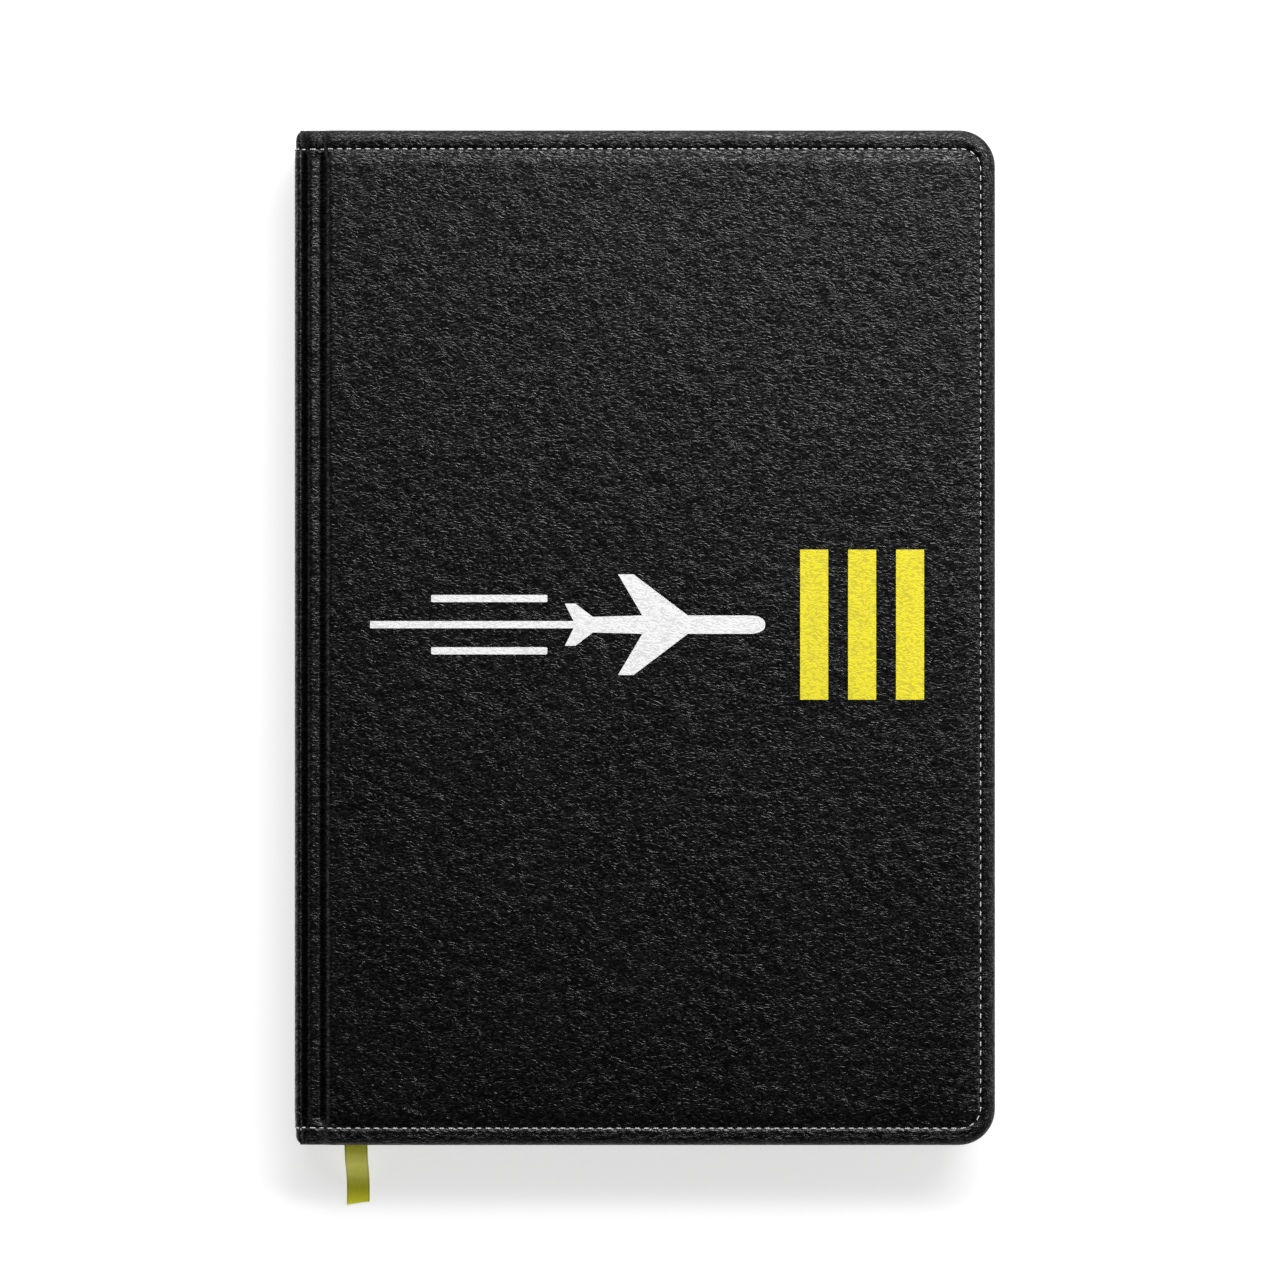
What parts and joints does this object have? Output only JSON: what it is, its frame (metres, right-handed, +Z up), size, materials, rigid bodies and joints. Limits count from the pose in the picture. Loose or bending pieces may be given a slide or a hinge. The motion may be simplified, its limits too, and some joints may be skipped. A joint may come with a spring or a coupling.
{
  "type": "pilot logbook",
  "caption": "Closed A5 logbook with padded sewn leather-look covers, a hollow spine, sewn leaf sections and a ribbon marker at the foot.",
  "frame": {"origin": "centre of the closed covers' footprint, on the surface that the back cover lies on", "axes": "+X from the spine to the fore-edge, +Y from the foot to the head, +Z up through the front cover"},
  "size_m": [0.145, 0.2224, 0.0181],
  "materials": {
    "leather": "fine pebble grain, semi-matt",
    "thread": "waxed sewing thread",
    "foam": "foam pad",
    "board": "grey board",
    "endpaper": "dark laid endpaper",
    "paper": "uncoated ivory leaves",
    "gauze": "starched gauze",
    "satin": "satin ribbon",
    "white_foil": "white print film",
    "yellow_foil": "yellow print film"
  },
  "bodies": {
    "back_cover": {"back_skin": "leather", "back_foam_pad": "foam", "back_board": "board", "back_lining": "endpaper", "back_thread": "thread", "back_joint_strip": "leather", "rear_flyleaf": "endpaper"},
    "spine": {"spine_skin": "leather", "spine_board": "board", "spine_mull": "gauze", "spine_liner": "gauze", "spine_thread_head": "thread", "spine_thread_foot": "thread", "head_band": "thread", "tail_band": "thread"},
    "front_joint": {"front_joint_strip": "leather", "front_flyleaf": "endpaper"},
    "front_cover": {"front_skin": "leather", "front_foam_pad": "foam", "front_board": "board", "front_lining": "endpaper", "front_thread": "thread", "foil_aircraft": "white_foil", "foil_trail_upper": "white_foil", "foil_trail_lower": "white_foil", "foil_stripe_1": "yellow_foil", "foil_stripe_2": "yellow_foil", "foil_stripe_3": "yellow_foil"},
    "leaves_1": {"section_1": "paper"},
    "leaves_2": {"section_2": "paper"},
    "leaves_3": {"section_3": "paper", "ribbon_marker": "satin"},
    "leaves_4": {"section_4": "paper"},
    "leaves_5": {"section_5": "paper"},
    "leaves_6": {"section_6": "paper"}
  },
  "joints": [
    {"name": "book_open", "type": "hinge", "parent": "back_cover", "child": "spine", "pos_m": [-0.07, 0, 0.00305], "axis": [0, -1, 0], "range_deg": [0, 90]},
    {"name": "front_joint_fold", "type": "hinge", "parent": "spine", "child": "front_joint", "pos_m": [-0.07, 0, 0.0149], "axis": [0, -1, 0], "range_deg": [0, 90]},
    {"name": "front_cover_lift", "type": "hinge", "parent": "front_joint", "child": "front_cover", "pos_m": [-0.0663, 0, 0.01675], "axis": [0, 1, 0], "range_deg": [-90, 0]},
    {"name": "leaves_1_settle", "type": "slide", "parent": "back_cover", "child": "leaves_1", "axis": [-1, 0, 0], "range_m": [0, 0.0012]},
    {"name": "leaves_2_settle", "type": "slide", "parent": "back_cover", "child": "leaves_2", "axis": [-1, 0, 0], "range_m": [0, 0.0036]},
    {"name": "leaves_3_settle", "type": "slide", "parent": "back_cover", "child": "leaves_3", "axis": [-1, 0, 0], "range_m": [0, 0.0066]},
    {"name": "leaves_4_settle", "type": "slide", "parent": "front_joint", "child": "leaves_4", "axis": [-1, 0, 0], "range_m": [0, 0.0066]},
    {"name": "leaves_5_settle", "type": "slide", "parent": "front_joint", "child": "leaves_5", "axis": [-1, 0, 0], "range_m": [0, 0.0036]},
    {"name": "leaves_6_settle", "type": "slide", "parent": "front_joint", "child": "leaves_6", "axis": [-1, 0, 0], "range_m": [0, 0.0012]}
  ],
  "couplings": [
    {"joint": "front_joint_fold", "follows": "book_open", "ratio": 1},
    {"joint": "leaves_1_settle", "follows": "book_open", "m_per_rad": 0.00076394},
    {"joint": "leaves_2_settle", "follows": "book_open", "m_per_rad": 0.0022918},
    {"joint": "leaves_3_settle", "follows": "book_open", "m_per_rad": 0.0042017},
    {"joint": "leaves_4_settle", "follows": "book_open", "m_per_rad": 0.0042017},
    {"joint": "leaves_5_settle", "follows": "book_open", "m_per_rad": 0.0022918},
    {"joint": "leaves_6_settle", "follows": "book_open", "m_per_rad": 0.00076394}
  ]
}
